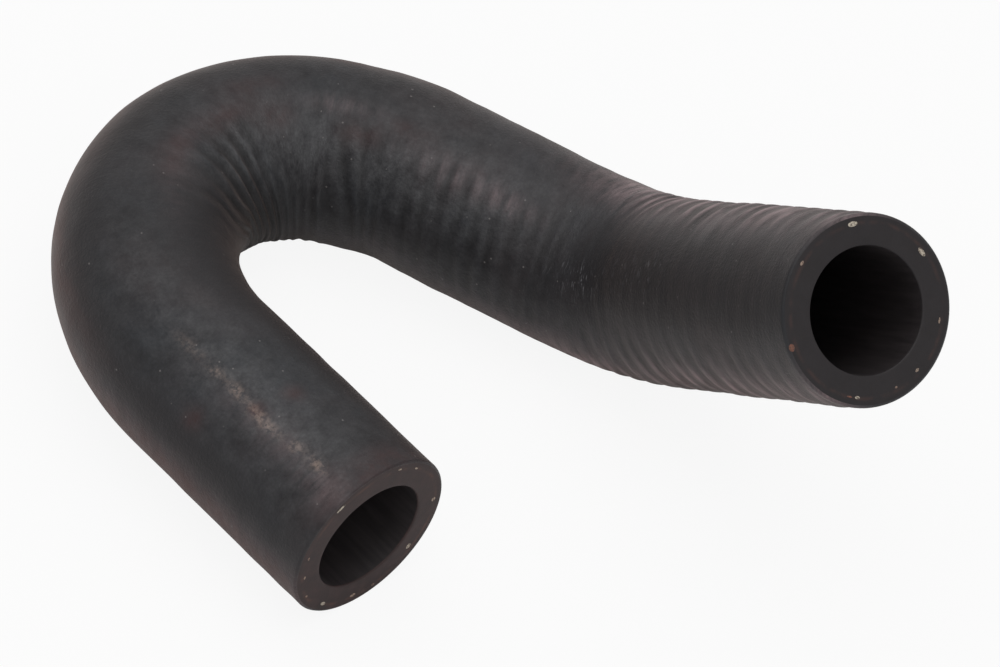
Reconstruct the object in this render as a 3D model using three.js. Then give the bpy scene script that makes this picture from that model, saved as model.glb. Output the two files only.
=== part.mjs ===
// A moulded radiator hose of 3/4 inch bore, lying loose on a level surface.
// It is one piece of fibre-reinforced rubber, cured on a bent mandrel and cut off square at both ends.
// Millimetres, +Z up. The origin is under the middle of the hose, on the surface it lies on.

import * as THREE from 'three';

// Tube section.
const BORE_DIAMETER = 19;
const WALL = 4.8;
const OUTER_EDGE_ROUNDING = 0.45;
const BORE_EDGE_ROUNDING = 0.3;

// Mandrel, from the end of the short leg: straight lengths, and bends given by the radius of the
// hose's centreline, the angle turned, and the clock angle around the hose towards which it turns.
const SHORT_LEG_LENGTH = 39.3;
const U_ENTRY_RADIUS = 36;
const U_ENTRY_ANGLE = 63.5;
const U_CROWN_RADIUS = 23;
const U_CROWN_ANGLE = 84;
const U_CROWN_CLOCK = 7.5;
const U_EXIT_LENGTH = 4.5;
const U_EXIT_RADIUS = 34;
const U_EXIT_ANGLE = 14;
const U_EXIT_CLOCK = -18.5;
const LONG_LEG_LENGTH = 24.5;
const OFFSET_RADIUS = 30.5;
const OFFSET_ANGLE = 50.5;
const OFFSET_CLOCK = 63.5;
const END_LEG_LENGTH = 53.4;

// How the hose comes to rest: heading, rise and roll of the short leg's axis, in degrees.
const REST_HEADING = 49;
const REST_RISE = 1.8;
const REST_ROLL = 4.8;

// Fineness of the surface.
const SIDES = 32;
const DEGREES_PER_RING = 6;
const EDGE_STEPS = 3;

const RUBBER = new THREE.MeshStandardMaterial({ color: 0x2b2a29, roughness: 0.82, metalness: 0 });

const outerRadius = BORE_DIAMETER / 2 + WALL;
const boreRadius = BORE_DIAMETER / 2;

const mandrel = [
  straight(SHORT_LEG_LENGTH),
  bend(U_ENTRY_RADIUS, U_ENTRY_ANGLE, 0),
  bend(U_CROWN_RADIUS, U_CROWN_ANGLE, U_CROWN_CLOCK),
  straight(U_EXIT_LENGTH),
  bend(U_EXIT_RADIUS, U_EXIT_ANGLE, U_EXIT_CLOCK),
  straight(LONG_LEG_LENGTH),
  bend(OFFSET_RADIUS, OFFSET_ANGLE, OFFSET_CLOCK),
  straight(END_LEG_LENGTH),
];
const hoseLength = mandrel.reduce((sum, segment) => sum + segment.length, 0);

// A segment gives the frame after a distance along it, in the frame at its start.
// In each frame the hose runs along +Y.
function straight(length) {
  return { length, rings: 1, frame: (distance) => new THREE.Matrix4().makeTranslation(0, distance, 0) };
}

// The clock angle is counted from +X towards +Z.
function bend(radius, degrees, clockDegrees) {
  const angle = THREE.MathUtils.degToRad(degrees);
  const clock = THREE.MathUtils.degToRad(clockDegrees);
  const inwards = new THREE.Vector3(Math.cos(clock), 0, Math.sin(clock));
  const axis = new THREE.Vector3(0, 1, 0).cross(inwards);
  const centre = inwards.multiplyScalar(radius);
  return {
    length: radius * angle,
    rings: Math.ceil(degrees / DEGREES_PER_RING),
    frame: (distance) => new THREE.Matrix4()
      .makeTranslation(centre)
      .multiply(new THREE.Matrix4().makeRotationAxis(axis, distance / radius))
      .multiply(new THREE.Matrix4().makeTranslation(centre.clone().negate())),
  };
}

// The frame on the centreline at a distance from the short leg's end.
function frameAt(distance) {
  const frame = new THREE.Matrix4();
  let left = distance;
  for (const [index, segment] of mandrel.entries()) {
    const isLast = index === mandrel.length - 1;
    if (left <= segment.length || isLast) {
      return frame.multiply(segment.frame(left));
    }
    frame.multiply(segment.frame(segment.length));
    left -= segment.length;
  }
}

// Distances of the rings of vertices between the two cut ends.
function ringDistances() {
  const distances = [];
  let start = 0;
  for (const segment of mandrel) {
    for (let ring = 1; ring <= segment.rings; ring += 1) {
      distances.push(start + (segment.length * ring) / segment.rings);
    }
    start += segment.length;
  }
  distances.pop();
  return distances;
}

// A quarter round between two points of the section, about a centre.
function quarterRound(radiusCentre, distanceCentre, rounding, fromDegrees) {
  const points = [];
  for (let step = 0; step <= EDGE_STEPS; step += 1) {
    const angle = THREE.MathUtils.degToRad(fromDegrees + (90 * step) / EDGE_STEPS);
    points.push(new THREE.Vector2(
      radiusCentre + rounding * Math.cos(angle),
      distanceCentre + rounding * Math.sin(angle),
    ));
  }
  return points;
}

// The lengthwise section of the straight blank, closed on itself.
function blankSection() {
  const distances = ringDistances();
  const outerEdge = outerRadius - OUTER_EDGE_ROUNDING;
  const boreEdge = boreRadius + BORE_EDGE_ROUNDING;
  const section = [
    ...quarterRound(outerEdge, OUTER_EDGE_ROUNDING, OUTER_EDGE_ROUNDING, -90),
    ...distances.map((distance) => new THREE.Vector2(outerRadius, distance)),
    ...quarterRound(outerEdge, hoseLength - OUTER_EDGE_ROUNDING, OUTER_EDGE_ROUNDING, 0),
    ...quarterRound(boreEdge, hoseLength - BORE_EDGE_ROUNDING, BORE_EDGE_ROUNDING, 90),
    ...distances.reverse().map((distance) => new THREE.Vector2(boreRadius, distance)),
    ...quarterRound(boreEdge, BORE_EDGE_ROUNDING, BORE_EDGE_ROUNDING, 180),
  ];
  section.push(section[0].clone());
  return section;
}

// The straight blank is turned about +Y, then each of its points is carried onto the mandrel.
function hoseGeometry() {
  const geometry = new THREE.LatheGeometry(blankSection(), SIDES);
  const position = geometry.getAttribute('position');
  const point = new THREE.Vector3();
  for (let index = 0; index < position.count; index += 1) {
    point.fromBufferAttribute(position, index);
    const frame = frameAt(point.y);
    point.setY(0).applyMatrix4(frame);
    position.setXYZ(index, point.x, point.y, point.z);
  }
  geometry.computeVertexNormals();
  return geometry;
}

// The mesh is turned to its rest, then set down with the origin under its middle.
function layDown(mesh) {
  mesh.rotation.set(
    THREE.MathUtils.degToRad(REST_RISE),
    THREE.MathUtils.degToRad(REST_ROLL),
    THREE.MathUtils.degToRad(REST_HEADING),
    'ZXY',
  );
  const box = new THREE.Box3().setFromObject(mesh, true);
  const middle = box.getCenter(new THREE.Vector3());
  mesh.position.set(-middle.x, -middle.y, -box.min.z);
}

const hose = new THREE.Mesh(hoseGeometry(), RUBBER);
hose.name = 'hose';
layDown(hose);

const radiatorHose = new THREE.Group();
radiatorHose.name = 'radiator_hose';
radiatorHose.add(hose);

export default radiatorHose;
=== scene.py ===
# %% [markdown]
# # A moulded radiator hose
# The object is one piece of rubber hose, cured on a bent mandrel so that it keeps its U-bend and
# its lifted long leg. It lies on a white floor. Everything that makes it look real is surface:
# fine ribs left by the wrap it was cured in, wrinkles pressed into the inside of the bend, a dusty
# bloom, scuffs, and yarn ends that show in the two cut faces.

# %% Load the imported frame
import math

import bpy
import numpy as np
from mathutils import Matrix, Vector


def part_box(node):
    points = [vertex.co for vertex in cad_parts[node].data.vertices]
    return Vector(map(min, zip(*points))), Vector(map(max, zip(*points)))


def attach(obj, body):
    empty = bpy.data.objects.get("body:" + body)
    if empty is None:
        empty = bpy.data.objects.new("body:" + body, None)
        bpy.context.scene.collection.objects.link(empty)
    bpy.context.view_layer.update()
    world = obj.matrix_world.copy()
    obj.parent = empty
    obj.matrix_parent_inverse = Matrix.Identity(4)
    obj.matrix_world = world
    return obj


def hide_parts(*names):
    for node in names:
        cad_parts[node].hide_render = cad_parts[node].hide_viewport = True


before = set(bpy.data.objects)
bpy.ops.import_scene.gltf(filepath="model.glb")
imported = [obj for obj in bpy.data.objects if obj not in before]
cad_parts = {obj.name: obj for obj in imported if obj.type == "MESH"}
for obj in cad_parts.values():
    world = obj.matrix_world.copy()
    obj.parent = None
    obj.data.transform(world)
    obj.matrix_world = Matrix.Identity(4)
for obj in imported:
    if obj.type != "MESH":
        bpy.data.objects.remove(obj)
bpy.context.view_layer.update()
MM = 0.001
print("frame nodes:", sorted(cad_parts))

# %% [markdown]
# ## The mandrel's route
# A moulded hose is drawn as a table of straights and round bends. Each bend has the radius of the
# hose's centreline, the angle it turns, and a clock angle that says towards which side of the hose
# it turns. A bevelled curve could follow such a route, but it gives no say over single points,
# which the ribs need. So numpy works out every point from the table itself, and its arcs and
# straights keep each section square to the centreline.

# %% Sizes of the hose, in millimetres and degrees
BORE_DIAMETER = 19
WALL = 4.8
OUTER_EDGE_ROUNDING = 0.45
BORE_EDGE_ROUNDING = 0.3

SHORT_LEG_LENGTH = 39.3
U_ENTRY = {"radius": 36, "angle": 63.5, "clock": 0}
U_CROWN = {"radius": 23, "angle": 84, "clock": 7.5}
U_EXIT_LENGTH = 4.5
U_EXIT = {"radius": 34, "angle": 14, "clock": -18.5}
LONG_LEG_LENGTH = 24.5
OFFSET = {"radius": 30.5, "angle": 50.5, "clock": 63.5}
END_LEG_LENGTH = 53.4

REST_HEADING = 49
REST_RISE = 1.8
REST_ROLL = 4.8

OUTER_RADIUS = BORE_DIAMETER / 2 + WALL
BORE_RADIUS = BORE_DIAMETER / 2
SEGMENTS = [
    SHORT_LEG_LENGTH, U_ENTRY, U_CROWN, U_EXIT_LENGTH, U_EXIT, LONG_LEG_LENGTH, OFFSET, END_LEG_LENGTH,
]


def segment_length(segment):
    """A straight is its own length; a bend is its radius times its angle."""
    if isinstance(segment, dict):
        return segment["radius"] * math.radians(segment["angle"])
    return segment


SEGMENT_ENDS = np.cumsum([segment_length(segment) for segment in SEGMENTS])
HOSE_LENGTH = SEGMENT_ENDS[-1]
U_START, OFFSET_START, OFFSET_END = SEGMENT_ENDS[0], SEGMENT_ENDS[5], SEGMENT_ENDS[6]
print("centreline length:", round(HOSE_LENGTH, 1), "mm")


# %% Carry points from the straight blank onto the mandrel
def turned(vectors, axis, angles):
    """Each vector turned about a unit axis: the part along the axis stays, the rest goes round."""
    cosines = np.cos(angles)[:, None]
    sines = np.sin(angles)[:, None]
    along = (vectors @ axis)[:, None] * axis
    return along + cosines * (vectors - along) + sines * np.cross(axis, vectors)


def rest_axes():
    """Columns of the turn that lays the hose down: heading about Z, rise about X, roll about Y."""
    heading, rise, roll = np.radians([REST_HEADING, REST_RISE, REST_ROLL])
    turn = [[np.cos(heading), -np.sin(heading), 0], [np.sin(heading), np.cos(heading), 0], [0, 0, 1]]
    about_z = np.array(turn)
    about_x = np.array([[1, 0, 0], [0, np.cos(rise), -np.sin(rise)], [0, np.sin(rise), np.cos(rise)]])
    about_y = np.array([[np.cos(roll), 0, np.sin(roll)], [0, 1, 0], [-np.sin(roll), 0, np.cos(roll)]])
    return about_z @ about_x @ about_y


def route_frames(distances):
    """Centre, side, tangent and up vector at each distance. A straight slides them along the
    tangent. A bend turns them about an axis square to the tangent, one radius towards its clock angle."""
    centres = np.zeros((len(distances), 3))
    axes = np.zeros((len(distances), 3, 3))
    centre, frame_axes = np.zeros(3), rest_axes().T
    start = 0.0
    for segment in SEGMENTS:
        stop = start + segment_length(segment)
        side, tangent, up = frame_axes
        inside = (distances >= start - 1e-6) & (distances <= stop + 1e-6)
        run = np.append(distances[inside], stop) - start
        if isinstance(segment, dict):
            clock = math.radians(segment["clock"])
            inwards = np.cos(clock) * side + np.sin(clock) * up
            axis = np.cross(tangent, inwards)
            angles = run / segment["radius"]
            arc = (1 - np.cos(angles))[:, None] * inwards + np.sin(angles)[:, None] * tangent
            places = centre + segment["radius"] * arc
            sets = [turned(np.repeat(vector[None], len(run), 0), axis, angles) for vector in frame_axes]
        else:
            places = centre + run[:, None] * tangent
            sets = [np.repeat(vector[None], len(run), 0) for vector in frame_axes]
        sets = np.stack(sets, axis=1)
        centres[inside], axes[inside] = places[:-1], sets[:-1]
        centre, frame_axes, start = places[-1], sets[-1], stop
    return centres, axes


def carry(distances, clocks, radii):
    """Points at a distance along, a clock angle around and a radius out from the centreline, in
    millimetres. The three are grids of the same shape."""
    centres, axes = route_frames(distances.ravel())
    sides, ups = axes[:, 0], axes[:, 2]
    around = np.cos(clocks).reshape(-1, 1) * sides + np.sin(clocks).reshape(-1, 1) * ups
    return (centres + radii.reshape(-1, 1) * around).reshape(*distances.shape, 3)


far_end = route_frames(np.array([HOSE_LENGTH]))[0][0]
print("far end of the centreline, from its start:", np.round(far_end, 1), "mm")

# %% [markdown]
# ## Where the hose lies
# The route starts at zero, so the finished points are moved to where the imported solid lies. Both
# have the same shape, so one shift sets the plain tube's box onto the solid's box.

# %% Shift from the route's own place to the frame's
SOLID_SIDES = 32


def place_shift():
    """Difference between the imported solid's box and that of a plain tube with as many sides."""
    sides, rings = SOLID_SIDES, 400
    distances = np.repeat(np.linspace(0, HOSE_LENGTH, rings)[:, None], sides, axis=1)
    clocks = np.tile(np.linspace(0, 2 * np.pi, sides, endpoint=False), (rings, 1))
    tube = carry(distances, clocks, np.full((rings, sides), OUTER_RADIUS)).reshape(-1, 3)
    low, high = (np.array(corner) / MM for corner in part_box("hose"))
    shift = ((low + high) - (tube.min(0) + tube.max(0))) / 2
    shift[2] = low[2] - tube[:, 2].min()
    return shift


SHIFT = place_shift()
print("shift to the frame:", np.round(SHIFT, 2), "mm")

# %% [markdown]
# ## Camera
# The photograph looks down on the hose from in front, with a long lens and slightly tilted. The
# camera is set by where it aims, the angles it looks from, how far away it is and its focal length.

# %% Camera
# Millimetres and degrees, and metres for the farthest seen.
CAMERA_AIM = np.array([2.61, -5.34, 25.0])
CAMERA_AZIMUTH = 0.25
CAMERA_ELEVATION = 44.8
CAMERA_TILT = 10.26
CAMERA_DISTANCE = 1104
CAMERA_LENS = 264.7
SENSOR_WIDTH = 36
FARTHEST_SEEN = 10


def make_camera():
    """Stands back from the aim by the distance, turned by the tilt about its own line of sight."""
    azimuth, elevation, tilt = np.radians([CAMERA_AZIMUTH, CAMERA_ELEVATION, CAMERA_TILT])
    level_back = np.array([np.sin(azimuth), -np.cos(azimuth), 0])
    back = np.cos(elevation) * level_back + np.array([0, 0, np.sin(elevation)])
    level_right = np.array([np.cos(azimuth), np.sin(azimuth), 0])
    level_up = np.cross(back, level_right)
    right = np.cos(tilt) * level_right + np.sin(tilt) * level_up
    up = np.cross(back, right)
    data = bpy.data.cameras.new("camera")
    data.lens = CAMERA_LENS
    data.sensor_width = SENSOR_WIDTH
    data.clip_end = FARTHEST_SEEN
    camera = bpy.data.objects.new("camera", data)
    place = (CAMERA_AIM + CAMERA_DISTANCE * back) * MM
    rows = [[*values, offset] for values, offset in zip(np.stack([right, up, back], axis=1), place)]
    camera.matrix_world = Matrix([*rows, [0, 0, 0, 1]])
    bpy.context.collection.objects.link(camera)
    bpy.context.scene.camera = camera
    print("camera at", np.round(place, 3), "m")


make_camera()

# %% [markdown]
# ## Relief of the outer skin
# Such a hose is cured inside a tight wrap, which leaves ribs nearly square to the centreline, 3 to
# 4.5 mm apart. On the inside of the tight bend the rubber is pushed together, so the ribs stand
# higher there and are drawn towards one place, as a fan. The short leg and the outside of the bend
# are almost smooth. Ribs could be a bump in the material, but these show in the outline, so they
# are real relief: a formula of the distance along the hose and the clock angle around it, worked
# out on the straight blank, so it follows the hose round each bend. The rings of the mesh are drawn
# together just as the ribs are, so a rib keeps to its rings and stays sharp in the fan.

# %% Smooth random fields on the blank
RANDOM_SEED = 19
COSINES = 14
random = np.random.default_rng(RANDOM_SEED)
print("seed of the random fields:", RANDOM_SEED)


def wavy(distances, clocks, wavelength, most_turns):
    """A sum of cosines with random phases, some running along and some around, scaled to about -1 to 1."""
    field = np.zeros(np.broadcast(distances, clocks).shape)
    for _ in range(COSINES):
        along = random.uniform(-1, 1) * 2 * np.pi / wavelength
        around = random.integers(-most_turns, most_turns + 1)
        field += np.cos(along * distances + around * clocks + random.uniform(0, 2 * np.pi))
    return field / math.sqrt(COSINES)


def waves(distances, clocks, layers):
    """The sum of the layers, each a height, a wavelength along and the most turns around."""
    return sum(height * wavy(distances, clocks, *layer) for height, *layer in layers)


def step_up(values, low, high):
    """0 below low, 1 above high, and an S-curve between."""
    share = np.clip((values - low) / (high - low), 0, 1)
    return share * share * (3 - 2 * share)


def between(values, low, high, blend):
    """1 between low and high, falling to 0 over the blend on both sides."""
    return step_up(values, low - blend, low) * (1 - step_up(values, high, high + blend))


def off_clock(clocks, clock_degrees):
    """Degrees from a clock angle, from -180 to 180."""
    return (np.degrees(clocks) - clock_degrees + 180) % 360 - 180


def bell(offsets, width):
    """1 at zero, and a round fall to nearly 0 at twice the width."""
    return np.exp(-((offsets / width) ** 2))


# %% Rings drawn together into the fan
# Millimetres along, degrees around, and the pinch as a share of the gap.
FAN_START, FAN_POINT, FAN_STOP = 62, 108, 112
FAN_FADE = 46
FAN_CLOCK = -35
FAN_FULL_REACH, FAN_CLOCK_REACH = 5, 75
FAN_PINCH = 0.47
FAN_SOFTNESS = 6


def fan_shift(rings, clocks):
    """How far a ring is drawn along the hose at each clock angle. That is its gap to the fan point
    (half of gap plus the root of gap squared plus softness squared, so that it ends smoothly), times
    the pinch, which is full at the fan's clock and falls to none at its reach."""
    gap = FAN_POINT - rings
    ahead = (gap + np.sqrt(gap * gap + FAN_SOFTNESS**2)) / 2
    off_fan = np.abs(off_clock(clocks, FAN_CLOCK))
    pinch = FAN_PINCH * (1 - step_up(off_fan, FAN_FULL_REACH, FAN_CLOCK_REACH))
    return ahead * pinch * between(rings, FAN_START, FAN_STOP, FAN_FADE)


most_drawn = fan_shift(np.arange(HOSE_LENGTH), math.radians(FAN_CLOCK)).max()
print("the fan draws its rings along by up to", round(most_drawn, 1), "mm")

# %% Rib numbers
# Distance along and the spacing of the ribs there, both in millimetres.
RIB_PITCHES = [(0, 4.4), (108, 4.4), (114, 3.1), (150, 3.1), (158, 4.0), (240, 4.0)]
FIRST_FAN_CREST = 66.5
BEYOND_ENDS = 20
SUM_STEPS = 4000


def rib_count(rings):
    """Number of ribs from the fan's first crest to each ring: the running sum of one over the pitch."""
    steps = np.linspace(-BEYOND_ENDS, HOSE_LENGTH + BEYOND_ENDS, SUM_STEPS)
    places, pitches = np.array(RIB_PITCHES).T
    total = np.cumsum(1 / np.interp(steps, places, pitches)) * (steps[1] - steps[0])
    return np.interp(rings, steps, total) - np.interp(FIRST_FAN_CREST, steps, total)


print("ribs in all:", round(rib_count(HOSE_LENGTH) - rib_count(0)))

# %% How tall the ribs are, and how they lean
# Each family has a height, a stretch along (from, to, fade), and a clock angle with a reach around
# it (from, to, fade).
RIB_FAMILIES = {
    "fan": {"height": 0.34, "along": (71, 91, 9), "clock": 8, "around": (-32, 48, 34)},
    "crown": {"height": 0.17, "along": (92, 112, 5), "clock": -22, "around": (-45, 32, 26)},
    "long leg": {"height": 0.17, "along": (115, 154, 5), "clock": 28, "around": (-30, 30, 18)},
}
# The end leg's ribs are low on its face, and tallest in two bands (clock angle, half width, share).
END_LEG_RIB_HEIGHT = 0.21
END_LEG_RISE = (OFFSET_START + 10, OFFSET_START + 24)
END_LEG_FACE = {"clock": 42, "around": (-28, 32, 30)}
SHARE_ON_FACE, SHARE_BESIDE_FACE = 0.06, 0.9
END_LEG_BANDS = [(120, 20, 0.7), (-38, 14, 0.5)]
FAINT_RIB_HEIGHT = 0.02
FAINT_RISE = (U_START, U_START + 20)
LONG_LEG_LEAN = {"most": 2.5, "clock": 45, "along": (118, OFFSET_START - 1, 12)}
END_LEG_LEAN = {"most": 5.0, "clock": 35, "rise": (OFFSET_START + 4, OFFSET_END)}


def end_leg_share(clocks):
    """Share of the full height around the end leg: less on its face, and more in its bands."""
    beside = 1 - between(off_clock(clocks, END_LEG_FACE["clock"]), *END_LEG_FACE["around"])
    bands = sum(share * bell(off_clock(clocks, clock), width) for clock, width, share in END_LEG_BANDS)
    return SHARE_ON_FACE + (SHARE_BESIDE_FACE - SHARE_ON_FACE) * beside + bands


def rib_height(rings, clocks):
    """Height of the ribs at a point: the tallest of the families that reach it, on top of faint ribs
    that start with the U-bend. Each family has its own stretch of the hose and its own side of it."""
    height = END_LEG_RIB_HEIGHT * step_up(rings, *END_LEG_RISE) * end_leg_share(clocks)
    for family in RIB_FAMILIES.values():
        along = between(rings, *family["along"])
        around = between(off_clock(clocks, family["clock"]), *family["around"])
        height = np.maximum(height, family["height"] * along * around)
    return height + FAINT_RIB_HEIGHT * step_up(rings, *FAINT_RISE)


def rib_lean(rings, clocks):
    """How far along the hose a rib is shifted at each clock angle, so that it stands oblique: a sine
    of the clock angle on the long leg, and one minus a cosine on the end leg."""
    off_long_leg = np.sin(clocks - np.radians(LONG_LEG_LEAN["clock"]))
    off_end_leg = 1 - np.cos(clocks - np.radians(END_LEG_LEAN["clock"]))
    long_leg = LONG_LEG_LEAN["most"] * between(rings, *LONG_LEG_LEAN["along"]) * off_long_leg
    end_leg = END_LEG_LEAN["most"] * step_up(rings, *END_LEG_LEAN["rise"]) * off_end_leg
    return long_leg + end_leg


print("families of ribs:", [*RIB_FAMILIES, "end leg", "faint"])

# %% Relief of the skin
# Layers of waves: height, wavelength along in millimetres, and most turns around.
RIB_WANDER = [(0.4, 26, 3), (0.15, 7, 6)]
WEAK_RIB_DRIFT = [(2, 10, 5)]
RIB_PATCHES = [(0.25, 12, 4), (0.15, 5, 8)]
DENTS = [(0.05, 16, 3), (0.025, 5, 7)]
RIB_SHARPNESS, MORE_ON_END_LEG = 1.1, 0.5
WEAK_RIB_SHARE = 0.15
USUAL_PATCH, LOWEST_PATCH, HIGHEST_PATCH = 0.9, 0.2, 1.4
# Ribs this tall, in millimetres, give their valleys the full painted shade.
DARKEST_VALLEY = 0.3
SMOOTH_END = 3


def skin_relief(rings, clocks):
    """How far the skin stands out from the plain tube, in millimetres, and how deep in a valley it is.
    A rib is one plus the cosine of its number's full turns, halved and raised to a power that makes
    its crest narrower than the valley beside it, more so on the end leg. Weaker ribs at half the
    pitch are added, without the power. The tube's own radius lies halfway up a rib."""
    wander = waves(rings, clocks, RIB_WANDER)
    turns = 2 * np.pi * rib_count(rings + wander + rib_lean(rings, clocks))
    sharpness = RIB_SHARPNESS + MORE_ON_END_LEG * step_up(rings, OFFSET_START, OFFSET_END)
    main = (0.5 + 0.5 * np.cos(turns)) ** sharpness
    weak = 0.5 + 0.5 * np.cos(2 * turns + waves(rings, clocks, WEAK_RIB_DRIFT))
    crest = (1 - WEAK_RIB_SHARE) * main + WEAK_RIB_SHARE * weak
    patchy = np.clip(USUAL_PATCH + waves(rings, clocks, RIB_PATCHES), LOWEST_PATCH, HIGHEST_PATCH)
    height = rib_height(rings, clocks) * patchy
    dents = waves(rings, clocks, DENTS)
    ends = step_up(rings, 0, SMOOTH_END) * step_up(HOSE_LENGTH - rings, 0, SMOOTH_END)
    return ends * (dents + height * (crest - 0.5)), ends * (1 - crest) * height / DARKEST_VALLEY


# %% [markdown]
# ## Dust, wear and painted light
# A used hose isn't one black. Dust lies in streaks along its sides and on the crests of its ribs,
# where it looks mauve or tan against the rubber. On the end leg's top and bottom edges that mauve is
# a painted highlight of the grazing ribs, and along the outer side of the bends a red-brown is partly
# grime and partly a painted warm rim sheen. Thinned bloom and the folds carry painted shade.
# Something has rubbed a broken pale line along the short leg, and the second bend has a few faint
# scratches. They could be painted on an image. Soft patches in the hose's own distances and angles
# are chosen instead, because they need no unwrapping and can be moved by hand, and the material
# breaks them up.

# %% Where dust, wear, painted highlight and painted shade lie
# Distance along in millimetres, clock angle in degrees, half length, half width in degrees, strength.
DUST_AND_RIM_HIGHLIGHT_PATCHES = [
    (76, 83, 16, 9, 0.15),
    (112, 78, 6, 6, 0.3),
    (133, 62, 8, 9, 0.36),
    (143, 60, 6, 7, 0.45),
    # Partly dust, partly a painted warm rim sheen along the short leg's outline.
    (30, 206, 45, 16, 0.4),
    (12, 126, 16, 9, 0.2),
    (3, 128, 3, 12, 0.3),
    # Painted highlight: these five light the end leg's top and bottom edges, as glancing light would.
    (204, 109, 34, 20, 1.6),
    (174, 110, 14, 14, 1.1),
    (166, 127, 12, 10, 1.0),
    (164, -32, 10, 9, 0.6),
    (194, -32, 46, 19, 1.35),
]
# Above 0 the bloom is thicker than elsewhere, below 0 thinner; thinned on the end leg's middle
# and in the cusp, it is painted shade.
BLOOM_AND_SHADE_PATCHES = [
    (112, 46, 34, 26, 0.65),
    (140, 54, 14, 22, 0.35),
    (18, 119, 24, 18, 0.6),
    (86, 60, 10, 26, 0.6),
    (34, 170, 48, 14, -0.4),
    (68, 152, 16, 18, -0.45),
    (95, 132, 22, 16, -0.6),
    (54, 46, 18, 22, -0.75),
    (52, 82, 18, 14, -0.25),
    (26, 58, 20, 14, -0.4),
    # Painted shade: these two darken the end leg's middle and the cusp by thinning the bloom.
    (200, 42, 46, 30, -0.6),
    (76, 4, 13, 14, -0.7),
    (118, -32, 14, 10, -0.4),
]
BLOOM_EVERYWHERE = 0.35
# Along the outer side of the bends and the end leg's lower edge, a red-brown that is partly grime and
# partly a painted warm rim sheen of the outline; grime round the short end's rim, blotches over the
# crown, and a few small spots.
STAIN_AND_RIM_SHEEN_PATCHES = [
    # Partly grime, partly a painted warm rim sheen: these five follow the outline of the bends and the end
    # leg's lower edge.
    (30, 202, 50, 15, 0.9),
    (66, 172, 16, 13, 0.85),
    (92, 148, 16, 12, 0.8),
    (112, 132, 14, 9, 0.7),
    (192, -36, 44, 14, 0.4),
    (75, 88, 6, 9, 0.4),
    (88, 78, 6, 8, 0.45),
    (97, 94, 5, 8, 0.3),
    (99, 68, 4, 8, 0.4),
    (117, 62, 4, 8, 0.4),
    (124, 74, 4, 6, 0.35),
    (1.5, 92, 3, 45, 0.5),
    (27.8, 152, 1.6, 7, 0.6),
    (19.2, 98, 1.6, 7, 0.5),
    (20.8, 122, 1.4, 5, 0.7),
]
# Painted shade in the deep folds of the fan and the cusp, added to the valleys' painted shade.
FOLD_SHADE_PATCHES = [(85, -2, 9, 20, 0.45), (74, 6, 7, 14, 0.9)]
SCRATCH_PATCHES = [(166, 36, 8, 12, 1.0), (188, 46, 8, 13, 0.6)]
# The rubbed line, in degrees around, and the layer of waves by which it wanders.
SCUFF_CLOCK = 122
SCUFF_HALF_WIDTH = 3
SCUFF_WANDER = [(1.5, 14, 0)]
# Distance along in millimetres, half length and strength of each rubbed spot.
SCUFF_SPOTS = [
    (7.5, 1.8, 0.9),
    (12, 1.2, 0.7),
    (19, 3.4, 1.0),
    (25.5, 1.8, 0.9),
    (30, 1.3, 0.7),
    (36, 3, 0.35),
]


def patch_field(rings, clocks, patches):
    """The sum of the patches, each a bell along and a bell around."""
    field = np.zeros(rings.shape)
    for distance, clock, half_length, half_width, strength in patches:
        field += strength * bell(rings - distance, half_length) * bell(off_clock(clocks, clock), half_width)
    return field


def scuff_field(rings, clocks):
    """A rubbed line along the short leg: a bell across it that wanders a little, times a row of spots."""
    off_line = off_clock(clocks, SCUFF_CLOCK) + waves(rings, clocks, SCUFF_WANDER)
    across = bell(off_line, SCUFF_HALF_WIDTH)
    spots = [strength * bell(rings - place, reach) for place, reach, strength in SCUFF_SPOTS]
    return across * np.clip(sum(spots), 0, 1)


print("patches of dust, bloom and stain:", len(DUST_AND_RIM_HIGHLIGHT_PATCHES), len(BLOOM_AND_SHADE_PATCHES), len(STAIN_AND_RIM_SHEEN_PATCHES))

# %% [markdown]
# ## The hose itself
# The hose is one closed skin: along the outside, over the rounded edge, across the cut face, and
# back through the bore. A curve with a bevel and a Solidify modifier could make a plain one. Here
# that lengthwise section is a list of distances and radii, carried around the centreline on a grid,
# so that each point can have its relief. Three materials share the skin, one for each way its rubber
# was finished.

# %% The lengthwise section
SIDES = 128
OUTER_RINGS = 650
BORE_RINGS = 60
FACE_RINGS = 8
EDGE_RINGS = 4
CLOSER_RINGS = (U_START + 5, U_START + 20)
SKIN, CUT, BORE = 0, 1, 2


def quarter_round(radius_centre, distance_centre, rounding, from_degrees):
    """Points of a quarter circle in the section, about a centre."""
    angles = np.radians(from_degrees + np.linspace(0, 90, EDGE_RINGS, endpoint=False))
    places = [distance_centre + rounding * np.sin(angles), radius_centre + rounding * np.cos(angles)]
    return np.stack(places, axis=1)


def face_line(distance, from_radius, to_radius):
    """A straight row of points across a cut face."""
    radii = np.linspace(from_radius, to_radius, FACE_RINGS, endpoint=False)
    return np.stack([np.full(FACE_RINGS, distance), radii], axis=1)


def outer_line(first, last):
    """Points along the outside, twice as close together past the short leg, where the ribs are: the
    running sum of a density, read backwards at even steps."""
    steps = np.linspace(first, last, SUM_STEPS)
    total = np.cumsum(1 + step_up(steps, *CLOSER_RINGS))
    distances = np.interp(np.linspace(total[0], total[-1], OUTER_RINGS, endpoint=False), total, steps)
    return np.stack([distances, np.full(OUTER_RINGS, OUTER_RADIUS)], axis=1)


def bore_line(first, last):
    """Points along the bore, evenly spaced."""
    distances = np.linspace(first, last, BORE_RINGS, endpoint=False)
    return np.stack([distances, np.full(BORE_RINGS, BORE_RADIUS)], axis=1)


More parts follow.
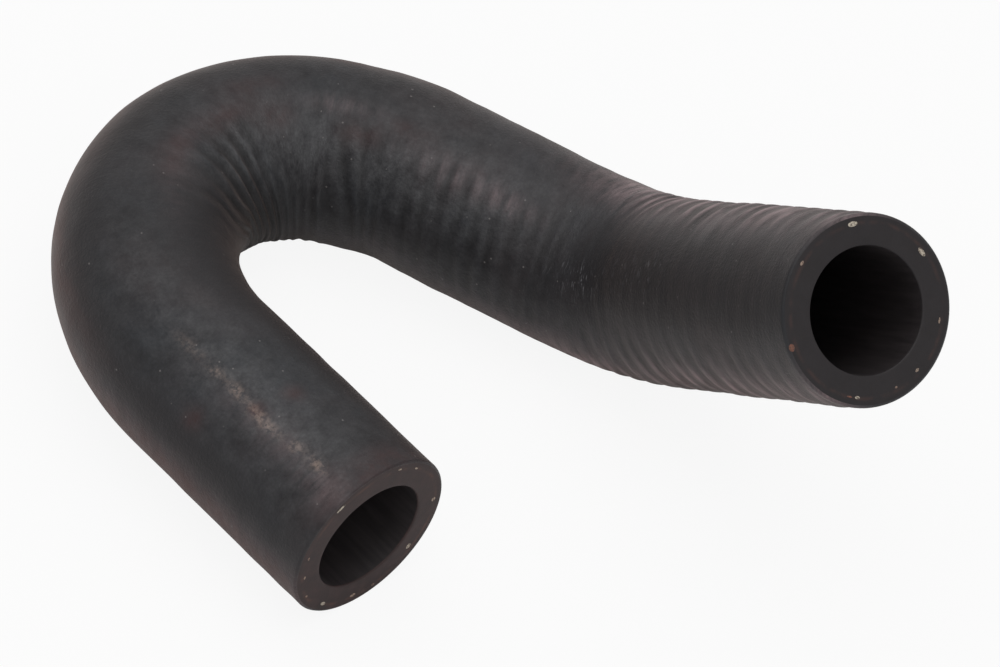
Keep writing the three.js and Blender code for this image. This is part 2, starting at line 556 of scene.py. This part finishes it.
def hose_section():
    """Distance, radius and finish of each ring, once round the wall. Each run leaves out its last
    point, because the next run starts with it."""
    outer_edge, bore_edge = OUTER_RADIUS - OUTER_EDGE_ROUNDING, BORE_RADIUS + BORE_EDGE_ROUNDING
    far_outer, far_bore = HOSE_LENGTH - OUTER_EDGE_ROUNDING, HOSE_LENGTH - BORE_EDGE_ROUNDING
    runs = [
        (SKIN, quarter_round(outer_edge, OUTER_EDGE_ROUNDING, OUTER_EDGE_ROUNDING, -90)),
        (SKIN, outer_line(OUTER_EDGE_ROUNDING, far_outer)),
        (SKIN, quarter_round(outer_edge, far_outer, OUTER_EDGE_ROUNDING, 0)),
        (CUT, face_line(HOSE_LENGTH, outer_edge, bore_edge)),
        (CUT, quarter_round(bore_edge, far_bore, BORE_EDGE_ROUNDING, 90)),
        (BORE, bore_line(far_bore, BORE_EDGE_ROUNDING)),
        (CUT, quarter_round(bore_edge, BORE_EDGE_ROUNDING, BORE_EDGE_ROUNDING, 180)),
        (CUT, face_line(0, bore_edge, outer_edge)),
    ]
    section = np.concatenate([points for _, points in runs])
    finish = np.concatenate([np.full(len(points), kind) for kind, points in runs])
    return section[:, 0], section[:, 1], finish


print("rings once round the wall:", len(hose_section()[0]))


# %% Put a grid that closes both ways into a mesh
def closed_grid_mesh(name, points, finish):
    """Four-sided faces between neighbouring rings and sides; both directions close on themselves."""
    rings, sides = points.shape[:2]
    ring, side = np.meshgrid(np.arange(rings), np.arange(sides), indexing="ij")
    next_ring, next_side = (ring + 1) % rings, (side + 1) % sides
    corners = [ring * sides + side, ring * sides + next_side]
    corners += [next_ring * sides + next_side, next_ring * sides + side]
    faces = np.stack(corners, axis=-1).reshape(-1, 4)
    mesh = bpy.data.meshes.new(name)
    mesh.vertices.add(rings * sides)
    mesh.vertices.foreach_set("co", (points.reshape(-1) * MM).astype(np.float32))
    mesh.loops.add(faces.size)
    mesh.loops.foreach_set("vertex_index", faces.ravel().astype(np.int32))
    mesh.polygons.add(len(faces))
    mesh.polygons.foreach_set("loop_start", np.arange(0, faces.size, 4, dtype=np.int32))
    mesh.polygons.foreach_set("material_index", np.repeat(finish, sides).astype(np.int32))
    mesh.polygons.foreach_set("use_smooth", np.ones(len(faces), dtype=bool))
    mesh.update(calc_edges=True)
    return mesh


def add_attribute(mesh, name, values, kind="FLOAT", field="value"):
    """A number at each vertex, or a vector where VECTOR is given. Materials read it by name."""
    attribute = mesh.attributes.new(name, kind, "POINT")
    attribute.data.foreach_set(field, values.ravel().astype(np.float32))


VECTOR = {"kind": "FLOAT_VECTOR", "field": "vector"}


# %% Make the hose
def make_hose():
    """The section gives each ring's distance and radius. The outside gets its relief and is drawn
    into the fan, and then every point is carried onto the route."""
    distances, radii, finish = hose_section()
    clocks = np.tile(np.linspace(0, 2 * np.pi, SIDES, endpoint=False), (len(distances), 1))
    rings = np.repeat(distances[:, None], SIDES, axis=1)
    flat = np.repeat(radii[:, None], SIDES, axis=1)
    outside = np.repeat((finish == SKIN)[:, None], SIDES, axis=1)
    relief, valley = (np.where(outside, field, 0) for field in skin_relief(rings, clocks))
    shift = np.where(outside, fan_shift(rings, clocks), 0)
    points = carry(rings + shift, clocks, flat + relief) + SHIFT
    mesh = closed_grid_mesh("moulded_hose", points, finish)
    blank = np.stack([flat * np.cos(clocks), rings, flat * np.sin(clocks)], axis=-1)
    wrap = blank + rib_lean(rings, clocks)[..., None] * np.array([0, 1, 0])
    # The bloom attribute also carries painted shade where a patch below 0 thins it.
    bloom_and_shade = BLOOM_EVERYWHERE + patch_field(rings, clocks, BLOOM_AND_SHADE_PATCHES)
    add_attribute(mesh, "blank", blank * MM, **VECTOR)
    add_attribute(mesh, "wrap", wrap * MM, **VECTOR)
    # The valley attribute sets the painted shade between ribs and in the folds.
    add_attribute(mesh, "valley", valley + patch_field(rings, clocks, FOLD_SHADE_PATCHES))
    add_attribute(mesh, "bloom_and_shade", np.maximum(bloom_and_shade, 0))
    add_attribute(mesh, "scuff", scuff_field(rings, clocks))
    # Dust includes the painted highlight on the end leg's edges; stain includes a painted warm rim sheen.
    for name, patches in (("dust_and_rim_highlight", DUST_AND_RIM_HIGHLIGHT_PATCHES), ("stain_and_rim_sheen", STAIN_AND_RIM_SHEEN_PATCHES), ("scratched", SCRATCH_PATCHES)):
        add_attribute(mesh, name, patch_field(rings, clocks, patches))
    hose = bpy.data.objects.new("moulded_hose", mesh)
    bpy.context.collection.objects.link(hose)
    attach(hose, "root")
    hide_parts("hose")
    print("hose:", len(mesh.polygons) * 2, "triangles")
    print("relief:", np.round([relief.min(), relief.max()], 2), "mm")
    return hose


hose = make_hose()


# %% [markdown]
# ## Yarn ends
# A layer of yarn lies in the wall, about 1.4 mm under the skin. Where the hose was cut across, a
# few cut ends show as small flecks, some clean and cream, some soaked brown with rubber. They could
# be spots in the material of the cut, but they stand out a little and catch the light, so each is a
# low oval dome, with its rim sunk into the cut face. They are too few and too uneven for a pattern,
# so they are given as a list.

# %% Yarn ends in both cut faces
YARN_RADIUS = 12.9
# Clock angle in degrees, distance from the centre, length and width in mm, and how clean, 0 to 1.
LONG_END_YARN = [
    (109, 12.9, 1.8, 0.85, 1.0),
    (168, 12.5, 1.8, 0.8, 0.9),
    (63, 13.1, 0.9, 0.5, 0.4),
    (8, 13.6, 1.3, 1.0, 0.0),
    (-142, 12.5, 1.0, 0.35, 0.4),
    (-104, 12.4, 0.8, 0.5, 0.5),
    (-53, 12.75, 0.9, 0.5, 0.9),
    (-47, 12.8, 1.0, 0.3, 0.0),
    (-84, 12.4, 0.5, 0.35, 0.3),
]
SHORT_END_YARN = [
    (129, 13.1, 2.0, 0.5, 1.0),
    (78, 13.1, 0.9, 0.35, 0.6),
    (60, 12.9, 0.8, 0.4, 0.6),
    (7, 12.6, 1.0, 0.8, 0.5),
    (-36, 12.1, 1.2, 0.9, 0.8),
    (-72, 13.0, 0.6, 0.5, 0.3),
    (-90, 12.55, 1.2, 0.7, 0.4),
    (-120, 12.7, 1.3, 0.7, 0.9),
    (172, 12.55, 0.7, 0.4, 0.3),
    (-169, 12.4, 0.9, 0.4, 0.4),
    (-146, 12.8, 0.6, 0.4, 0.3),
]
YARN_STEPS, YARN_SIDES = 5, 14
YARN_HEIGHT = 0.1
YARN_SUNK = 0.025


def yarn_dome(centre, outwards, around, inwards, length, width):
    """A low dome on an oval base: its height is the square root of one minus the share squared."""
    share = np.linspace(0, 1, YARN_STEPS)[:, None]
    angles = np.linspace(0, 2 * np.pi, YARN_SIDES, endpoint=False)[None]
    flat = (share * np.cos(angles) * length / 2)[..., None] * around
    flat = flat + (share * np.sin(angles) * width / 2)[..., None] * inwards
    lift = (YARN_HEIGHT * np.sqrt(1 - share * share) - YARN_SUNK) * np.ones_like(angles)
    return centre + flat + lift[..., None] * outwards


def yarn_points():
    """One dome for each yarn end, facing out of the end that it lies in."""
    domes = []
    for distance, sign, yarns in ((0.0, -1, SHORT_END_YARN), (HOSE_LENGTH, 1, LONG_END_YARN)):
        centres, axes = route_frames(np.array([distance]))
        side, tangent, up = axes[0]
        for clock, radius, length, width, _ in yarns:
            out = math.cos(math.radians(clock)) * side + math.sin(math.radians(clock)) * up
            centre = centres[0] + SHIFT + radius * out
            around = np.cross(tangent, out)
            domes.append(yarn_dome(centre, sign * tangent, around, sign * out, length, width))
    return np.array(domes)


def make_yarn_ends():
    """All the domes in one mesh: four-sided faces between neighbouring steps and sides of each."""
    domes = yarn_points()
    count = len(domes)
    step, side = np.meshgrid(np.arange(YARN_STEPS - 1), np.arange(YARN_SIDES), indexing="ij")
    next_step, next_side = step + 1, (side + 1) % YARN_SIDES
    corners = [step * YARN_SIDES + side, next_step * YARN_SIDES + side]
    corners += [next_step * YARN_SIDES + next_side, step * YARN_SIDES + next_side]
    quads = np.stack(corners, axis=-1).reshape(-1, 4)
    faces = (np.arange(count)[:, None, None] * YARN_STEPS * YARN_SIDES + quads).reshape(-1, 4)
    mesh = bpy.data.meshes.new("yarn_ends")
    mesh.from_pydata((domes.reshape(-1, 3) * MM).tolist(), [], faces.tolist())
    mesh.polygons.foreach_set("use_smooth", np.ones(len(mesh.polygons), dtype=bool))
    clean = np.array([yarn[-1] for yarn in SHORT_END_YARN + LONG_END_YARN])
    add_attribute(mesh, "clean", np.repeat(clean, YARN_STEPS * YARN_SIDES))
    yarn_ends = bpy.data.objects.new("yarn_ends", mesh)
    bpy.context.collection.objects.link(yarn_ends)
    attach(yarn_ends, "root")
    print("yarn ends:", count)
    return yarn_ends


yarn_ends = make_yarn_ends()


# %% [markdown]
# ## Finishes
# The hose is EPDM rubber, filled with carbon black: dark, matte and slightly warm. Most of its
# light is reflection, weak where it faces the eye and strong where it turns away, so the base
# colours are darker than the hose looks. Patterns read the blank's own coordinates, in metres, and
# their scales come from real sizes.

# %% Colour and node helpers
MIX = {"kind": "ShaderNodeMix", "out": 2, "data_type": "RGBA"}
MIX_FACTOR, MIX_A, MIX_B = 0, 6, 7
TIMES = {"kind": "ShaderNodeMath", "operation": "MULTIPLY"}
# Typical for rubber.
RUBBER_IOR = 1.5


def linear(hex_colour):
    """An sRGB hex colour as linear red, green, blue and alpha 1."""
    parts = [int(hex_colour[i:i + 2], 16) / 255 for i in (1, 3, 5)]
    return [(c / 12.92 if c <= 0.04045 else ((c + 0.055) / 1.055) ** 2.4) for c in parts] + [1.0]


def per_size(millimetres):
    """A texture scale whose features are about that many millimetres across."""
    return 1 / (millimetres * MM)


def add(tree, kind, inputs=None, out=0, **settings):
    """Adds a node, sets its properties, sets or links its inputs, and gives back one output."""
    node = tree.nodes.new(kind)
    for name, value in settings.items():
        setattr(node, name, value)
    for name, value in (inputs or {}).items():
        if isinstance(value, bpy.types.NodeSocket):
            tree.links.new(value, node.inputs[name])
        else:
            node.inputs[name].default_value = value
    return node.outputs[out] if node.outputs else None


def empty_material(name):
    """A material whose tree has no nodes yet."""
    material = bpy.data.materials.new(name)
    material.use_nodes = True
    material.node_tree.nodes.clear()
    return material, material.node_tree


def laid_over(tree, colour, patch, pattern, spread, over):
    """The colour with another one laid over it, as thick as the named patches say, broken by a noise."""
    where = add(tree, "ShaderNodeAttribute", out="Fac", attribute_name=patch)
    noise = add(tree, "ShaderNodeTexNoise", pattern)
    broken = add(tree, "ShaderNodeMapRange", {"Value": noise, **spread})
    amount = add(tree, **TIMES, inputs={0: where, 1: broken})
    return add(tree, **MIX, inputs={MIX_FACTOR: amount, MIX_A: colour, MIX_B: over})


def dress(piece, material):
    """Puts a material into the piece's next slot."""
    piece.data.materials.append(material)
    print(piece.name, "has", material.name, "with", len(material.node_tree.nodes), "nodes")


# %% [markdown]
# ### Cured EPDM skin
# The skin took its grain from the wrap it was cured in, so it is matte, with fine streaks that run
# around the hose. The real grain is too fine to show, so it is drawn about half a millimetre across.
# Wax and dust leave a grey bloom in patches, broken up finely, that is mauve in some places and
# bluish in others; where the bloom is thinned in the cusp and on the end leg's middle, that is
# painted shade. Valleys between ribs and the deep folds get painted shade, near-black. Crests catch
# mauve-brown dust, which on the end leg's top and bottom edges is a painted highlight, and grit a
# third of a millimetre across clings here and there. Each of these is a layer mixed over the last,
# as the bloom, dust and grit came onto the hose, and any layer can be changed without the others.

# %% Skin colours
RUBBER_BLACK = linear("#17161a")
BLOOM_MAUVE = linear("#352e30")
BLOOM_BLUE = linear("#292d32")
HAZE_GREY = linear("#575759")
VALLEY_SHADE_BLACK = linear("#0c0a0b")
DUST_AND_HIGHLIGHT_MAUVE = linear("#8e7b7d")
STAIN_AND_RIM_SHEEN_BROWN = linear("#442321")
SCUFF_TAN = linear("#b8a092")
SCRATCH_GREY = linear("#8d8c90")
GRIT_PALE = linear("#8f8a88")
SHEEN_WARM = linear("#f2d8cc")


# %% Bloom, haze and valleys
def bloomed_and_shaded_rubber(tree, blank, valley):
    """Black rubber, then bloom of two tints in broad patches, then a fine haze where the bloom is
    thick, then painted shade in the valleys and folds. Where the bloom is thinned in the cusp and on
    the end leg's middle, that is painted shade too."""
    bloom_and_shade = add(tree, "ShaderNodeAttribute", out="Fac", attribute_name="bloom_and_shade")
    tints = add(tree, "ShaderNodeTexNoise", {"Vector": blank, "Scale": per_size(17), "Detail": 3})
    tint = add(tree, "ShaderNodeMapRange", {"Value": tints, "From Min": 0.4, "From Max": 0.6})
    tinted = add(tree, **MIX, inputs={MIX_FACTOR: tint, MIX_A: BLOOM_MAUVE, MIX_B: BLOOM_BLUE})
    broad = {"Vector": blank, "Scale": per_size(11), "Detail": 6, "Roughness": 0.62}
    patches = add(tree, "ShaderNodeTexNoise", broad)
    spread = {"Value": patches, "From Min": 0.36, "From Max": 0.68, "To Max": 0.8}
    thick = add(tree, "ShaderNodeMapRange", {"Value": bloom_and_shade, "From Max": BLOOM_EVERYWHERE, "To Min": 0.2})
    specks = add(tree, "ShaderNodeTexNoise", {"Vector": blank, "Scale": per_size(0.5), "Detail": 2})
    speckled = {"Value": specks, "From Min": 0.32, "From Max": 0.68, "To Min": 0.76, "To Max": 1.24}
    speckle = add(tree, "ShaderNodeMapRange", speckled)
    amount = add(tree, **TIMES, inputs={0: add(tree, "ShaderNodeMapRange", spread), 1: thick})
    amount = add(tree, **TIMES, inputs={0: amount, 1: speckle})
    colour = add(tree, **MIX, inputs={MIX_FACTOR: amount, MIX_A: RUBBER_BLACK, MIX_B: tinted})

    fine = {"Vector": blank, "Scale": per_size(2.6), "Detail": 6, "Roughness": 0.7}
    mottles = add(tree, "ShaderNodeTexNoise", fine)
    haze = add(tree, "ShaderNodeMapRange", {"Value": mottles, "From Min": 0.3, "From Max": 0.76})
    amount = add(tree, **TIMES, inputs={0: haze, 1: bloom_and_shade})
    amount = add(tree, **TIMES, inputs={0: amount, 1: speckle})
    colour = add(tree, **MIX, inputs={MIX_FACTOR: amount, MIX_A: colour, MIX_B: HAZE_GREY})

    # Painted shade: the deeper a point lies in a valley or fold, the nearer it comes to near-black.
    painted_valley_shade = add(tree, "ShaderNodeMapRange", {"Value": valley, "From Max": 0.9, "To Max": 0.65})
    return add(tree, **MIX, inputs={MIX_FACTOR: painted_valley_shade, MIX_A: colour, MIX_B: VALLEY_SHADE_BLACK})


# %% Dust, and a painted highlight on the end leg's edges, in streaks along the wrap
def dusted_and_rim_lit(tree, colour, streaks, valley):
    """Mauve-brown dust, crumbled into streaks, and thinner in the valleys. On the end leg's top and
    bottom edges this layer is a painted highlight of the crests.
    """
    dust_and_rim_highlight = add(tree, "ShaderNodeAttribute", out="Fac", attribute_name="dust_and_rim_highlight")
    crumbs = {"Vector": streaks, "Scale": per_size(1.6), "Detail": 6, "Roughness": 0.72}
    noise = add(tree, "ShaderNodeTexNoise", crumbs)
    crumbled = add(tree, "ShaderNodeMapRange", {"Value": noise, "From Min": 0.32, "From Max": 0.66})
    thinned = {"Value": valley, "From Max": 0.6, "To Min": 1.15, "To Max": 0.2}
    crest = add(tree, "ShaderNodeMapRange", thinned)
    amount = add(tree, **TIMES, inputs={0: crumbled, 1: crest})
    amount = add(tree, **TIMES, inputs={0: dust_and_rim_highlight, 1: amount})
    return add(tree, **MIX, inputs={MIX_FACTOR: amount, MIX_A: colour, MIX_B: DUST_AND_HIGHLIGHT_MAUVE})


# %% Wear and grit
# Scratches lie a little oblique, and are three times as long around the hose as along it.
SCRATCH_TURN = (0.3, 0, 0.2)
SCRATCH_SCALE = (0.3, 1, 0.3)
# Grit sits at the middle of cells this many millimetres across. Edge and core are shares of a cell.
GRIT_CELL = 3
GRIT_EDGE, GRIT_CORE = 0.065, 0.03


def worn(tree, colour, blank):
    """Stains, partly a painted warm rim sheen along the outline of the bends, then the rubbed line, then
    scratches that run round the hose, then grit, each laid over the last."""
    blots = {"Vector": blank, "Scale": per_size(3), "Detail": 5, "Roughness": 0.65}
    uneven = {"From Min": 0.35, "From Max": 0.6, "To Min": 0.4}
    colour = laid_over(tree, colour, "stain_and_rim_sheen", blots, uneven, STAIN_AND_RIM_SHEEN_BROWN)

    smears = {"Vector": blank, "Scale": per_size(1.0), "Detail": 5, "Roughness": 0.7}
    rubbed = {"From Min": 0.42, "From Max": 0.6, "To Max": 0.5}
    colour = laid_over(tree, colour, "scuff", smears, rubbed, SCUFF_TAN)

    turned_round = {"Vector": blank, "Rotation": SCRATCH_TURN, "Scale": SCRATCH_SCALE}
    drawn = add(tree, "ShaderNodeMapping", turned_round)
    lines = {"Vector": drawn, "Scale": per_size(0.5), "Detail": 3, "Roughness": 0.6, "Distortion": 0.8}
    scratch = {"From Min": 0.57, "From Max": 0.7, "To Max": 0.6}
    colour = laid_over(tree, colour, "scratched", lines, scratch, SCRATCH_GREY)

    scattered = {"Vector": blank, "Scale": per_size(GRIT_CELL)}
    cells = add(tree, "ShaderNodeTexVoronoi", scattered, out="Distance")
    grains = {"Value": cells, "From Min": GRIT_EDGE, "From Max": GRIT_CORE, "To Max": 0.5}
    grit = add(tree, "ShaderNodeMapRange", grains)
    return add(tree, **MIX, inputs={MIX_FACTOR: grit, MIX_A: colour, MIX_B: GRIT_PALE})


# %% Grain and lumps of the skin
# Size across in millimetres, roughness of the noise, strength, and depth in millimetres.
GRAIN = (0.45, 0.6, 0.9, 0.11)
WRAP_STREAKS = (1.2, 0.65, 0.5, 0.12)
LUMPS = (2.5, 0.6, 0.5, 0.14)


def skin_bump(tree, blank, streaks):
    """Three bumps, each on top of the last: grain, the streaks of the wrap, and soft lumps."""
    below = {}
    for vector, layer in ((blank, GRAIN), (streaks, WRAP_STREAKS), (blank, LUMPS)):
        size, roughness, strength, depth = layer
        pattern = {"Vector": vector, "Scale": per_size(size), "Detail": 4, "Roughness": roughness}
        noise = add(tree, "ShaderNodeTexNoise", pattern)
        raised = {"Height": noise, "Strength": strength, "Distance": depth * MM, **below}
        below = {"Normal": add(tree, "ShaderNodeBump", raised)}
    return below["Normal"]


# %% Skin
# A streak is four times as long around the hose as along it.
STREAK_SCALE = (0.25, 1, 0.25)


def make_skin():
    """The layered colour and bumps on a matte base, uneven in its polish, with a warm sheen of dust."""
    material, tree = empty_material("epdm_cured_skin")
    blank = add(tree, "ShaderNodeAttribute", out="Vector", attribute_name="blank")
    wrap = add(tree, "ShaderNodeAttribute", out="Vector", attribute_name="wrap")
    streaks = add(tree, "ShaderNodeMapping", {"Vector": wrap, "Scale": STREAK_SCALE})
    valley = add(tree, "ShaderNodeAttribute", out="Fac", attribute_name="valley")
    colour = dusted_and_rim_lit(tree, bloomed_and_shaded_rubber(tree, blank, valley), streaks, valley)
    polish = add(tree, "ShaderNodeTexNoise", {"Vector": blank, "Scale": per_size(9), "Detail": 4})
    matte = {"Value": polish, "From Min": 0.3, "From Max": 0.7, "To Min": 0.46, "To Max": 0.58}
    surface = add(tree, "ShaderNodeBsdfPrincipled", {
        "Base Color": worn(tree, colour, blank),
        "Roughness": add(tree, "ShaderNodeMapRange", matte),
        "Normal": skin_bump(tree, blank, streaks),
        "IOR": RUBBER_IOR, "Specular IOR Level": 0.44,
        "Sheen Weight": 0.17, "Sheen Roughness": 0.4, "Sheen Tint": SHEEN_WARM,
    })
    add(tree, "ShaderNodeOutputMaterial", {"Surface": surface})
    return material


dress(hose, make_skin())


# %% [markdown]
# ### Cut rubber
# The ends were cut with a knife, so the faces are even and clean, with a faint grain, greyer at the
# long end and browner at the short one. A thin brown ring, broken up, shows where the yarn lies,
# more clearly at the short end. The ring could be a band of faces, but a distance from the
# centreline, worked out in the material, gives it soft edges.

# %% Cut faces
CUT_BLACK = linear("#242021")
CUT_GREY = linear("#302c2e")
CUT_BROWN = linear("#4b3735")
YARN_LAYER_BROWN = linear("#563c35")
# Half widths of the yarn's ring, in millimetres: where it ends, and where it is full.
RING_EDGE, RING_CORE = 0.45, 0.05


def make_cut():
    """Mottled rubber that goes from brown at the short end to grey at the long one, then the ring:
    how near the distance from the centreline is to the yarn's, broken up, and clearer at the short
    end."""
    material, tree = empty_material("epdm_knife_cut")
    blank = add(tree, "ShaderNodeAttribute", out="Vector", attribute_name="blank")
    along = add(tree, "ShaderNodeSeparateXYZ", {"Vector": blank}, out="Y")
    far = add(tree, "ShaderNodeMapRange", {"Value": along, "From Max": HOSE_LENGTH * MM})
    flat = add(tree, "ShaderNodeVectorMath", {0: blank, 1: (1, 0, 1)}, operation="MULTIPLY")
    radius = add(tree, "ShaderNodeVectorMath", {0: flat}, out="Value", operation="LENGTH")
    off = add(tree, "ShaderNodeMath", {0: radius, 1: YARN_RADIUS * MM}, operation="SUBTRACT")
    off = add(tree, "ShaderNodeMath", {0: off}, operation="ABSOLUTE")
    thin = {"Value": off, "From Min": RING_EDGE * MM, "From Max": RING_CORE * MM, "To Max": 0.85}
    near = add(tree, "ShaderNodeMapRange", thin)
    broken = add(tree, "ShaderNodeTexNoise", {"Vector": blank, "Scale": per_size(3), "Detail": 4})
    shows = add(tree, "ShaderNodeMapRange", {"Value": broken, "From Min": 0.45, "From Max": 0.62})
    clear = add(tree, "ShaderNodeMapRange", {"Value": far, "To Min": 1.0, "To Max": 0.35})
    ring = add(tree, **TIMES, inputs={0: near, 1: shows})
    ring = add(tree, **TIMES, inputs={0: ring, 1: clear})
    mottles = {"Vector": blank, "Scale": per_size(2.5), "Detail": 5, "Roughness": 0.6}
    mottle = add(tree, "ShaderNodeTexNoise", mottles)
    pale = add(tree, **MIX, inputs={MIX_FACTOR: far, MIX_A: CUT_BROWN, MIX_B: CUT_GREY})
    colour = add(tree, **MIX, inputs={MIX_FACTOR: mottle, MIX_A: CUT_BLACK, MIX_B: pale})
    colour = add(tree, **MIX, inputs={MIX_FACTOR: ring, MIX_A: colour, MIX_B: YARN_LAYER_BROWN})
    grain = add(tree, "ShaderNodeTexNoise", {"Vector": blank, "Scale": per_size(0.5), "Detail": 4})
    bump = add(tree, "ShaderNodeBump", {"Height": grain, "Strength": 0.35, "Distance": 0.07 * MM})
    surface = add(tree, "ShaderNodeBsdfPrincipled", {
        "Base Color": colour, "Roughness": 0.6, "Normal": bump,
        "IOR": RUBBER_IOR, "Specular IOR Level": 0.4,
    })
    add(tree, "ShaderNodeOutputMaterial", {"Surface": surface})
    return material


dress(hose, make_cut())


# %% [markdown]
# ### Bore
# The mandrel is pulled out lengthwise, which leaves fine marks along the bore and polishes it a
# little. The marks are one noise, stretched along the blank, for both the colour and the bump.

# %% Bore
BORE_BLACK = linear("#292526")
BORE_GREY = linear("#373233")
# A mark is about twelve times as long along the bore as around it.
MARK_SCALE = (1, 0.08, 1)


def make_bore():
    """Black and grey along the marks, which are also slightly raised."""
    material, tree = empty_material("epdm_mandrel_drawn")
    blank = add(tree, "ShaderNodeAttribute", out="Vector", attribute_name="blank")
    drawn = add(tree, "ShaderNodeMapping", {"Vector": blank, "Scale": MARK_SCALE})
    lines = {"Vector": drawn, "Scale": per_size(0.8), "Detail": 4, "Roughness": 0.6}
    marks = add(tree, "ShaderNodeTexNoise", lines)
    drag = add(tree, "ShaderNodeMapRange", {"Value": marks, "From Min": 0.35, "From Max": 0.68})
    colour = add(tree, **MIX, inputs={MIX_FACTOR: drag, MIX_A: BORE_BLACK, MIX_B: BORE_GREY})
    bump = add(tree, "ShaderNodeBump", {"Height": marks, "Strength": 0.25, "Distance": 0.08 * MM})
    surface = add(tree, "ShaderNodeBsdfPrincipled", {
        "Base Color": colour, "Roughness": 0.5, "Normal": bump,
        "IOR": RUBBER_IOR, "Specular IOR Level": 0.5,
    })
    add(tree, "ShaderNodeOutputMaterial", {"Surface": surface})
    return material


dress(hose, make_bore())


# %% [markdown]
# ### Yarn
# Cut polyester yarn: matte, and cream where its fibres are clean, red-brown where rubber has soaked
# in. Each dome carries how clean it is, so one material serves them all.

# %% Yarn
YARN_CREAM = linear("#c9bfae")
YARN_SOAKED = linear("#7c5244")
YARN_SHADE = linear("#4f433c")


def make_yarn():
    """Each end's own tint, darker between its bundles of fibres, which also stand out a little."""
    material, tree = empty_material("polyester_yarn_cut")
    where = add(tree, "ShaderNodeTexCoord", out="Object")
    clean = add(tree, "ShaderNodeAttribute", out="Fac", attribute_name="clean")
    tint = add(tree, **MIX, inputs={MIX_FACTOR: clean, MIX_A: YARN_SOAKED, MIX_B: YARN_CREAM})
    bundles = add(tree, "ShaderNodeTexNoise", {"Vector": where, "Scale": per_size(0.3), "Detail": 3})
    fibres = add(tree, "ShaderNodeMapRange", {"Value": bundles, "From Min": 0.35, "From Max": 0.55})
    colour = add(tree, **MIX, inputs={MIX_FACTOR: fibres, MIX_A: YARN_SHADE, MIX_B: tint})
    bump = add(tree, "ShaderNodeBump", {"Height": bundles, "Strength": 0.6, "Distance": 0.1 * MM})
    fibrous = {"Base Color": colour, "Roughness": 0.8, "Normal": bump}
    surface = add(tree, "ShaderNodeBsdfPrincipled", fibrous)
    add(tree, "ShaderNodeOutputMaterial", {"Surface": surface})
    return material


dress(yarn_ends, make_yarn())


# %% [markdown]
# ## Floor and light
# A white floor and a white room, lit by two broad soft lamps, one above and one a little in front,
# as for a product picture. The room alone would light the hose flatly from all sides, so lamps give
# it its bright top and dark flanks. Together they light a surface that faces up about as strongly as
# a plain white room of strength 1 would, so colours render about as written. The camera sees the
# floor as almost pure white, and the hose's own soft shadow stays on it.

# %% Floor, lamp and world
FLOOR_WHITE = linear("#f2f2f2")
FLOOR_HALF_SIZE = 3.0
PLAIN_WHITE_SHARE = 0.9
# Each lamp's place in metres and its power in watts.
LAMPS = {"top_lamp": ((-0.1, 0.2, 0.95), 2.95), "front_lamp": ((0.1, -0.45, 0.9), 2.3)}
LAMP_SIZE = 1.0
ROOM_LIGHT = 0.43


def make_floor():
    """A flat white sheet, mixed for camera rays with plain white so that only the shadow shows."""
    half = FLOOR_HALF_SIZE
    mesh = bpy.data.meshes.new("floor")
    corners = [(-half, -half, 0), (half, -half, 0), (half, half, 0), (-half, half, 0)]
    mesh.from_pydata(corners, [], [(0, 1, 2, 3)])
    floor = bpy.data.objects.new("floor", mesh)
    bpy.context.collection.objects.link(floor)
    material, tree = empty_material("white_paper_floor")
    paper = add(tree, "ShaderNodeBsdfDiffuse", {"Color": FLOOR_WHITE})
    white = add(tree, "ShaderNodeEmission", {"Color": (1, 1, 1, 1), "Strength": 1.0})
    seen = add(tree, "ShaderNodeLightPath", out="Is Camera Ray")
    share = add(tree, **TIMES, inputs={0: seen, 1: PLAIN_WHITE_SHARE})
    surface = add(tree, "ShaderNodeMixShader", {0: share, 1: paper, 2: white})
    add(tree, "ShaderNodeOutputMaterial", {"Surface": surface})
    mesh.materials.append(material)


def make_lamp(name, place, watts):
    """A square soft lamp, turned so that it faces the origin."""
    data = bpy.data.lights.new(name, "AREA")
    data.size = LAMP_SIZE
    data.energy = watts
    lamp = bpy.data.objects.new(name, data)
    lamp.location = place
    lamp.rotation_euler = Vector(place).to_track_quat("Z", "Y").to_euler()
    bpy.context.collection.objects.link(lamp)


def make_world():
    """Dim for the light it gives, and white where the camera sees it."""
    world = bpy.data.worlds.new("room")
    world.use_nodes = True
    tree = world.node_tree
    tree.nodes.clear()
    seen = add(tree, "ShaderNodeLightPath", out="Is Camera Ray")
    strength = add(tree, "ShaderNodeMapRange", {"Value": seen, "To Min": ROOM_LIGHT, "To Max": 1.0})
    room = add(tree, "ShaderNodeBackground", {"Color": (1, 1, 1, 1), "Strength": strength})
    add(tree, "ShaderNodeOutputWorld", {"Surface": room})
    bpy.context.scene.world = world


make_floor()
for name, (place, watts) in LAMPS.items():
    make_lamp(name, place, watts)
make_world()
bpy.context.scene.view_settings.view_transform = "Standard"
print("lamps:", list(LAMPS), "room light:", ROOM_LIGHT)
